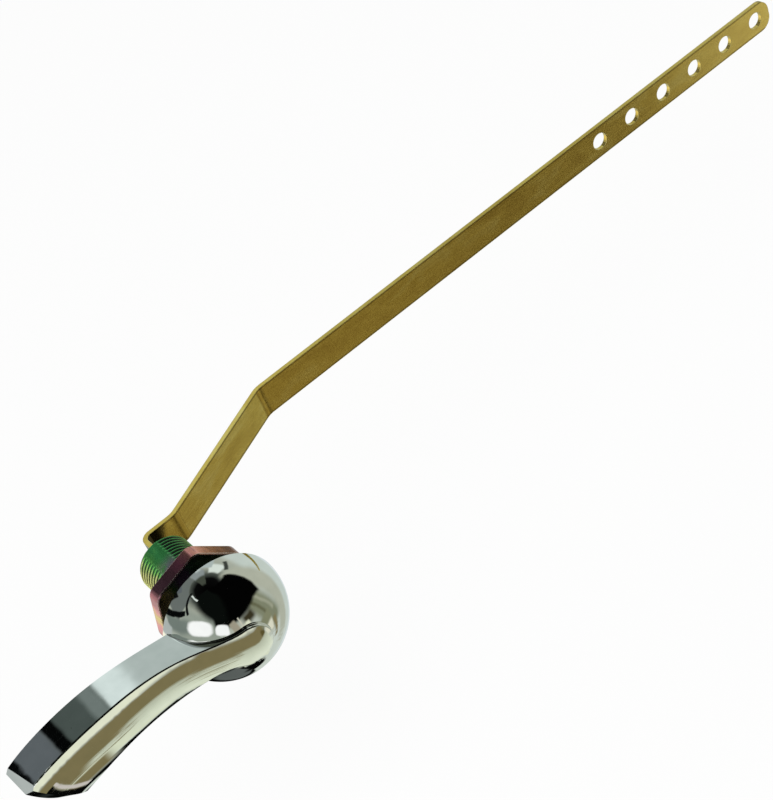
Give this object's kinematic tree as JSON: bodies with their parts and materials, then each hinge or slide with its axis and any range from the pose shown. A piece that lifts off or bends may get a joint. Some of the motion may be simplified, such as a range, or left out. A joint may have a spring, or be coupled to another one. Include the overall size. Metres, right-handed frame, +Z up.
{
  "type": "cistern lever",
  "caption": "Front-mount cistern lever: domed chrome handle turning in a threaded shank with a hex mounting nut, and a cranked brass lift arm with a row of lift holes.",
  "frame": {"origin": "on the shank's axis, in the flange face that seats on the outside of the tank", "axes": "+Y into the tank along the shank, +Z up, +X along the lift arm"},
  "size_m": [0.2551, 0.059, 0.0274],
  "materials": {
    "chrome_plate": "bright polished chrome plate on a die casting",
    "chromate_shank": "iridescent yellow chromate, green on the flats",
    "chromate_nut": "iridescent yellow chromate, plum to copper",
    "arm_brass": "dull rolled brass strip"
  },
  "bodies": {
    "shank": {"threaded_shank": "chromate_shank"},
    "lever": {"handle": "chrome_plate", "lift_arm": "arm_brass"},
    "nut": {"mounting_nut": "chromate_nut"}
  },
  "joints": [
    {"name": "lever_pivot", "type": "hinge", "parent": "shank", "child": "lever", "pos_m": [0, 0, 0], "axis": [0, -1, 0], "range_deg": [0, 50]},
    {"name": "nut_travel", "type": "slide", "parent": "shank", "child": "nut", "axis": [0, 1, 0], "range_m": [-0.0057, 0.012]}
  ]
}
